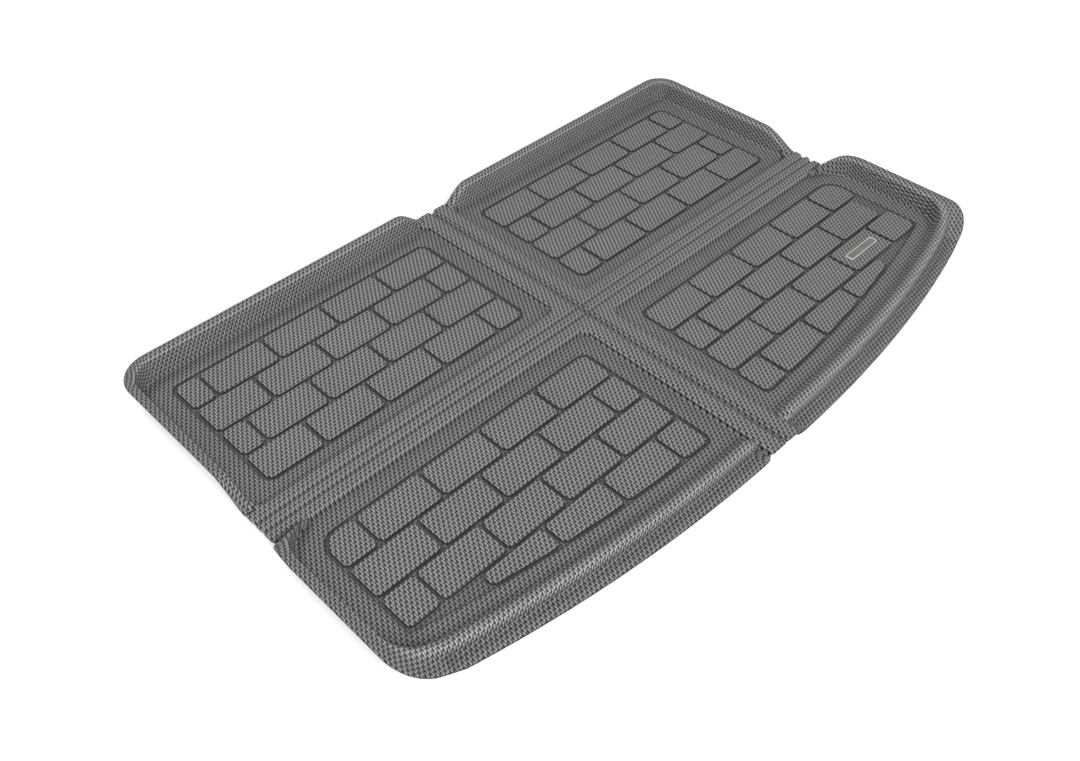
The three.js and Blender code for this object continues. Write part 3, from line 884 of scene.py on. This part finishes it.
def front_lip(side):
    edge_x = FRONT_EDGES[side]
    radius = FRONT_CORNERS[side]
    foot_x = edge_x - side * LIP_REACH
    foot_y = FRONT_EDGE - LIP_REACH
    ramp_foot = FOLD_Y + FOLD_HALF
    band_foot = FOLD_X + side * FOLD_HALF
    shares = [(k / RAMP_STEPS) ** RAMP_CROWDING for k in range(RAMP_STEPS + 1)]
    stations = [station((foot_x, ramp_foot - SEAM), (edge_x, ramp_foot - SEAM), 0)]
    for t in shares:
        y = ramp_foot + t * SIDE_RAMP
        stations.append(station((foot_x, y), (edge_x, y), ramp_lift(t)))
    centre = Vector((foot_x - side * radius, foot_y - radius))
    for k in range(CORNER_STEPS + 1):
        angle = k / CORNER_STEPS * math.pi / 2
        out = Vector((side * math.cos(angle), math.sin(angle)))
        stations.append(station(centre + out * radius, centre + out * (radius + LIP_REACH), 1))
    for t in reversed(shares):
        x = band_foot + side * t * FRONT_RAMP
        stations.append(station((x, foot_y), (x, FRONT_EDGE), ramp_lift(t)))
    x = band_foot - side * SEAM
    stations.append(station((x, foot_y), (x, FRONT_EDGE), 0))
    return carried_sheet(stations)


def sill_corner(side):
    """Foot and edge of a rear tray's outer corner at the sill, as matching curves."""
    edge_x = REAR_EDGES[side]
    foot_x = edge_x - side * LIP_REACH
    turn = SILL_CORNER - LIP_REACH / 2
    foot_end = foot_x - side * turn
    edge_end = edge_x - side * SILL_CORNER
    foot_y = bow(foot_x) + CREST_REACH
    foot = curve_points(Vector((foot_x, foot_y + turn)), Vector((foot_x, foot_y)),
                        Vector((foot_end, bow(foot_end) + CREST_REACH)), SHOULDER_STEPS)
    edge = curve_points(Vector((edge_x, bow(edge_x) + SILL_CORNER)), Vector((edge_x, bow(edge_x))),
                        Vector((edge_end, bow(edge_end))), SHOULDER_STEPS)
    return foot, edge


def sill_station(x, crest=CREST_HEIGHT, inset=0.0):
    return station((x, bow(x) + CREST_REACH), (x, bow(x) + inset), 1, 1.0, crest)


def shoulder_stations(side):
    """Stations where a rear tray's lip rises from the band round the shoulder."""
    edge_x = REAR_EDGES[side]
    band_foot = FOLD_Y - FOLD_HALF
    start = Vector((FRONT_EDGES[side] - side * FOLD_END_INSET, band_foot - SHOULDER_START))
    control = Vector((edge_x - side * SHOULDER_INSET, band_foot - SHOULDER_START - SHOULDER_INSET))
    edges = curve_points(start, control, Vector((edge_x, band_foot - SHOULDER_END)), SHOULDER_STEPS)
    centre = Vector((edge_x - side * (LIP_REACH + SHOULDER_RADIUS), band_foot - SHOULDER_RADIUS))
    stations = []
    for k, edge in enumerate(edges):
        angle = k / SHOULDER_STEPS * math.pi / 2
        foot = centre + Vector((side * math.sin(angle), math.cos(angle))) * SHOULDER_RADIUS
        if k == 0:
            foot.y += SEAM
        stations.append(station(foot, edge, math.sin(angle)))
    return stations


def flange_end(side, end):
    """Stations where the crest falls and the flange rounds off at the band along the car."""
    stations = []
    for k in range(1, END_STEPS + 1):
        share = 1 - k / END_STEPS
        height = lerp(CREST_END_SHARE, 1, math.sin(share * math.pi / 2))
        inset = FLANGE_END_INSET[side] * (1 - math.sqrt(1 - (1 - share) ** 2))
        stations.append(sill_station(end + side * CREST_RUN_OUT * share, CREST_HEIGHT * height, inset))
    last = CREST_HEIGHT * CREST_END_SHARE
    stations.append(sill_station(end - side * SEAM, last, FLANGE_END_INSET[side]))
    return stations


def rear_lip(side):
    stations = shoulder_stations(side)
    for k, (foot, edge) in enumerate(zip(*sill_corner(side))):
        stations.append(station(foot, edge, 1, eased(k / SHOULDER_STEPS, *SILL_TURN)))
    foot, edge, lift, turned, crest = stations[-1]
    begin = edge.x - side * BLEND_LENGTH
    foot_begin = Vector((begin, bow(begin) + CREST_REACH))
    for k in range(1, BLEND_STEPS):
        share = k / BLEND_STEPS
        edge_x = lerp(edge.x, begin, share)
        foot_x = foot.lerp(foot_begin, share).x
        stations.append(station((foot_x, bow(foot_x) + CREST_REACH), (edge_x, bow(edge_x)), 1,
                                lerp(turned, 1, share)))
    end = FOLD_X + side * FOLD_HALF
    for k in range(BOW_STEPS + 1):
        stations.append(sill_station(lerp(begin, end + side * CREST_RUN_OUT, k / BOW_STEPS)))
    return carried_sheet(stations + flange_end(side, end))


# Trays and pads


def rounded_rect(x0, y0, x1, y1, radii):
    """Rectangle with rounded corners; the radii go right rear, right front, left front, left rear."""
    points = []
    corners = ((x1, y0, -1, 1), (x1, y1, -1, -1), (x0, y1, 1, -1), (x0, y0, 1, 1))
    for (x, y, in_x, in_y), radius, turn in zip(corners, radii, (-90, 0, 90, 180)):
        for k in range(CORNER_STEPS + 1):
            angle = math.radians(turn + 90 * k / CORNER_STEPS)
            points.append(Vector((x + in_x * radius + radius * math.cos(angle),
                                  y + in_y * radius + radius * math.sin(angle))))
    return points


def tray_edge(side, front):
    return FRONT_EDGES[side] if front else REAR_EDGES[side]


def front_floor(side):
    outer = FRONT_EDGES[side] - side * LIP_REACH
    inner = FOLD_X + side * (FOLD_HALF - SEAM)
    radii = [COVERED] * 4
    radii[2 if side < 0 else 1] = FRONT_CORNERS[side]
    return rounded_rect(min(outer, inner), FOLD_Y + FOLD_HALF - SEAM, max(outer, inner),
                        FRONT_EDGE - LIP_REACH, radii)


def rear_floor(side):
    outer = REAR_EDGES[side] - side * LIP_REACH
    inner = FOLD_X + side * (FOLD_HALF - SEAM)
    near = FOLD_Y - FOLD_HALF + SEAM
    points = [Vector((inner, near)), Vector((outer - side * SHOULDER_RADIUS, near))]
    for k in range(1, SHOULDER_STEPS + 1):
        angle = k / SHOULDER_STEPS * math.pi / 2
        points.append(Vector((outer - side * SHOULDER_RADIUS * (1 - math.sin(angle)),
                              near - SEAM - SHOULDER_RADIUS * (1 - math.cos(angle)))))
    points += sill_corner(side)[0]
    start = points[-1].x
    for k in range(1, BOW_STEPS + 1):
        x = lerp(start, inner, k / BOW_STEPS)
        points.append(Vector((x, bow(x) + CREST_REACH)))
    return points


def field_outline(side, front, inset):
    """Outline of a tray's pad field, drawn in from the middle of its border groove by an inset."""
    outer = tray_edge(side, front) - side * (FIELD_INSETS[side] + inset)
    inner = FOLD_X + side * (FIELD_FROM_FOLD + inset)
    r = FIELD_CORNER - inset
    if front:
        y0 = FOLD_Y + ROWS_FROM_FOLD + inset
        y1 = FOLD_Y + ROWS_FROM_FOLD + ROWS * ROW_PITCH - inset
        return rounded_rect(min(outer, inner), y0, max(outer, inner), y1, (r, r, r, r))
    sill = FIELD_FROM_SILL + inset
    top = FOLD_Y - ROWS_FROM_FOLD - inset
    big = SHOULDER_FIELD_CORNER - inset
    turned = inner + side * r
    points = curve_points(Vector((inner, bow(inner) + sill + r)), Vector((inner, bow(inner) + sill)),
                          Vector((turned, bow(turned) + sill)), CORNER_STEPS)
    for k in range(1, BOW_STEPS + 1):
        x = lerp(turned, outer, k / BOW_STEPS)
        points.append(Vector((x, bow(x) + sill)))
    for k in range(CORNER_STEPS + 1):
        angle = k / CORNER_STEPS * math.pi / 2
        points.append(Vector((outer - side * big * (1 - math.cos(angle)),
                              top - big * (1 - math.sin(angle)))))
    for k in range(CORNER_STEPS + 1):
        angle = k / CORNER_STEPS * math.pi / 2
        points.append(Vector((inner + side * r * (1 - math.sin(angle)), top - r * (1 - math.cos(angle)))))
    return points


def pad_spans(side, front, row):
    """Spans of the pads in one row, as distances from the middle fold."""
    end = side * (tray_edge(side, front) - FOLD_X) - FIELD_INSETS[side]
    shifted = row % 2 == 1 if front else row % 2 == 0
    joints = [FIELD_FROM_FOLD]
    joint = FIRST_JOINT + (PAD_PITCH / 2 if shifted else 0)
    while joint < end - PAD_GROOVE:
        joints.append(joint)
        joint += PAD_PITCH
    joints.append(end)
    return [(a, b) for a, b in zip(joints, joints[1:]) if b - a >= SHORTEST_PAD]


def row_lines(front, row):
    near = ROWS_FROM_FOLD + row * ROW_PITCH
    far = near + ROW_PITCH
    return (FOLD_Y + near, FOLD_Y + far) if front else (FOLD_Y - far, FOLD_Y - near)


def edge_angle(edge):
    return edge.calc_face_angle(0.0)


def pad_blocks(side, front):
    """Square blocks of one tray's pads, each as its lower and upper ring."""
    half = PAD_GROOVE / 2
    blocks = []
    for row in range(ROWS):
        y0, y1 = row_lines(front, row)
        for near, far in pad_spans(side, front, row):
            outer = FOLD_X + side * far
            if not front and y1 - half - (bow(outer) + FIELD_FROM_SILL + half) < LOWEST_PAD:
                continue
            x0 = min(FOLD_X + side * near, outer) + half
            x1 = max(FOLD_X + side * near, outer) - half
            outline = ((x0, y0 + half), (x1, y0 + half), (x1, y1 - half), (x0, y1 - half))
            blocks.append([[(x, y, z) for x, y in outline] for z in (PAD_BASE - PAD_ROOT, FLOOR_TOP)])
    return blocks


def bevelled(bm, edges, offset, segments):
    bmesh.ops.bevel(bm, geom=edges, offset=offset, affect="EDGES", segments=segments, profile=0.5,
                    material=-1, clamp_overlap=True)


def tray_pads(side, front):
    """Pads of one tray: blocks kept inside the field, with round corners and rolled upper edges."""
    inset = PAD_GROOVE / 2
    inside = levels(lambda reach: field_outline(side, front, reach), ((inset, 0), (inset, ABOVE)))
    pads = combine(grown_form(*pad_blocks(side, front)), "INTERSECT", [grown_form(inside)])
    bm = bmesh.new()
    bm.from_mesh(pads.data)
    bm.verts.layers.float.remove(bm.verts.layers.float["pad"])
    bmesh.ops.dissolve_limit(bm, angle_limit=FLAT_ANGLE, verts=bm.verts, edges=bm.edges)
    proud = [e for e in bm.edges if edge_angle(e) > PROUD_ANGLE]
    upright = [e for e in proud if abs(e.verts[0].co.z - e.verts[1].co.z) > UPRIGHT_RISE]
    bevelled(bm, upright, PAD_CORNER, PAD_CORNER_SEGMENTS)
    proud = [e for e in bm.edges if edge_angle(e) > PROUD_ANGLE]
    top = [e for e in proud if min(v.co.z for v in e.verts) > FLOOR_TOP - LEVEL_GAP]
    bevelled(bm, top, PAD_ROLL, PAD_ROLL_SEGMENTS)
    bpy.data.objects.remove(pads)
    return form(bm, pad=1.0)


def tray(side, front):
    floor = front_floor(side) if front else rear_floor(side)
    tray_floor = grown_form([[(p.x, p.y, z) for p in floor] for z in (0, FLOOR_TOP)])
    edge = -PAD_GROOVE / 2
    heights = [(edge - reach, z) for reach, z in BORDER_PROFILE]
    heights.append((heights[-1][0], ABOVE))
    recess = levels(lambda inset: field_outline(side, front, inset), heights)
    tray_floor = combine(tray_floor, "DIFFERENCE", [grown_form(recess)])
    return combine(tray_floor, "UNION", [tray_pads(side, front)])


# Whole sheet


def corner_fills():
    """Fills of the tray corners beside the bands, round the crossing and at the lips."""
    at_lip = CORNER_REACH_AT_LIP
    fills = []
    for side in (-1, 1):
        band_x = FOLD_X + side * FOLD_HALF
        outer = FRONT_EDGES[side] - side * LIP_REACH
        fills.append(tray_corner(band_x, FOLD_Y + FOLD_HALF, side, 1))
        fills.append(tray_corner(band_x, FOLD_Y - FOLD_HALF, side, -1))
        fills.append(tray_corner(band_x, FRONT_EDGE - LIP_REACH, side, -1, limit_y=at_lip))
        fills.append(tray_corner(outer, FOLD_Y + FOLD_HALF, -side, 1, limit_x=at_lip))
    return [paint_foot_shade(grown_form(fill)) for fill in fills]


def liner():
    """Whole sheet, joined into one closed piece and brought from millimetres to metres."""
    fills = corner_fills()
    pieces = []
    for side in (-1, 1):
        pieces += [front_lip(side), rear_lip(side), tray(side, True), tray(side, False)]
    piece = combine(fold_cross(), "UNION", fills + pieces)
    piece.name = "liner_sheet"
    mesh = piece.data
    mesh.name = "liner_sheet"
    mesh.transform(Matrix.Scale(MM, 4))
    bm = bmesh.new()
    bm.from_mesh(mesh)
    bmesh.ops.dissolve_degenerate(bm, dist=TINY_EDGE * MM, edges=bm.edges)
    bm.to_mesh(mesh)
    bm.free()
    mesh.materials.clear()
    mesh.materials.append(sheet_material())
    mesh.shade_smooth()
    mesh.set_sharp_from_angle(angle=SHEET_SHARP_ANGLE)
    flats = piece.modifiers.new("even_shading", "WEIGHTED_NORMAL")
    flats.keep_sharp = True
    flats.weight = EVEN_WEIGHT
    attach(piece, "root")
    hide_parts("boot_liner")


def badge():
    """Blank plate with a polished rim and a sunk, brushed face."""
    box = [Vector(corner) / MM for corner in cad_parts["badge_plate"].bound_box]
    low = [min(corner[i] for corner in box) for i in range(3)]
    high = [max(corner[i] for corner in box) for i in range(3)]
    rings = []
    for inset, rise in BADGE_PROFILE:
        radii = (max(BADGE_RADIUS - inset, BADGE_LEAST_RADIUS),) * 4
        outline = rounded_rect(low[0] + inset, low[1] + inset, high[0] - inset, high[1] - inset, radii)
        rings.append([(p.x, p.y, low[2] + rise) for p in outline])
    bm = bmesh.new()
    grow(bm, rings)
    bmesh.ops.recalc_face_normals(bm, faces=bm.faces)
    mesh = bpy.data.meshes.new("badge_metal_plate")
    bm.to_mesh(mesh)
    bm.free()
    mesh.transform(Matrix.Scale(MM, 4))
    mesh.materials.append(badge_material((low[2] + BADGE_FACE_RISE) * MM))
    mesh.shade_smooth()
    mesh.set_sharp_from_angle(angle=BADGE_SHARP_ANGLE)
    piece = bpy.data.objects.new("badge_metal_plate", mesh)
    bpy.context.scene.collection.objects.link(piece)
    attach(piece, "root")
    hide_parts("badge_plate")


camera()
studio_floor()
studio_world()
for lamp in LAMPS:
    area_light(*lamp)
liner()
badge()

bpy.context.scene.view_settings.view_transform = "Standard"
